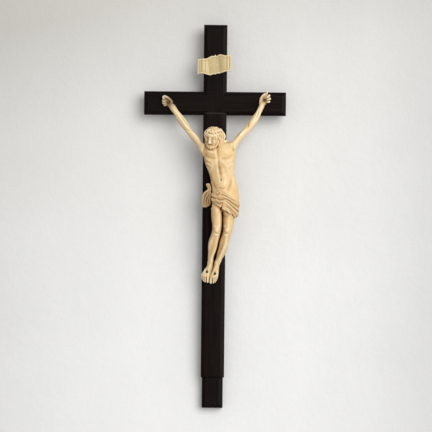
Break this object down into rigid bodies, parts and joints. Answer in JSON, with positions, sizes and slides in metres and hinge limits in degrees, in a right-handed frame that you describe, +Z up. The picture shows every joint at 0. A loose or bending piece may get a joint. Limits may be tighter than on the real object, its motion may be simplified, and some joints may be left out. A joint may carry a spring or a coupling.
{
  "type": "wall crucifix",
  "caption": "Bevelled dark wooden cross with a raised front board, a carved pale figure, a bare scroll and a swinging hanging ring let into the back.",
  "frame": {"origin": "middle of the crossing, on the flat back that lies on the wall", "axes": "+Z up along the upright, +Y back into the wall, -Y the front, +X the viewer's right"},
  "size_m": [0.213, 0.0597, 0.575],
  "materials": {
    "dark_wood": "dark, close-grained wood with a thin wax polish",
    "peg_wood": "plain hardwood",
    "figure_ivory": "polished ivory-coloured carving, darker in the hollows",
    "scroll_ivory": "ivory-coloured carving, more golden than the figure",
    "nail_iron": "dark brown iron",
    "screw_brass": "dull brass",
    "hanger_brass": "dull brass"
  },
  "bodies": {
    "cross": {"upright": "dark_wood", "crossbar": "dark_wood", "front_board": "dark_wood", "crossing_pegs": "peg_wood", "board_screws": "screw_brass", "titulus_scroll": "scroll_ivory", "titulus_pins": "peg_wood", "corpus_body": "figure_ivory", "right_arm": "figure_ivory", "left_arm": "figure_ivory", "right_shoulder_dowel": "peg_wood", "left_shoulder_dowel": "peg_wood", "loincloth_knot": "figure_ivory", "right_hand_nail": "nail_iron", "left_hand_nail": "nail_iron", "right_foot_nail": "nail_iron", "left_foot_nail": "nail_iron", "hanger_plate": "hanger_brass", "hanger_screws": "screw_brass"},
    "ring": {"hanging_ring": "hanger_brass"}
  },
  "joints": [
    {"name": "ring_swing", "type": "hinge", "parent": "cross", "child": "ring", "pos_m": [0, -0.0033, 0.082], "axis": [1, 0, 0], "range_deg": [0, 180]}
  ]
}
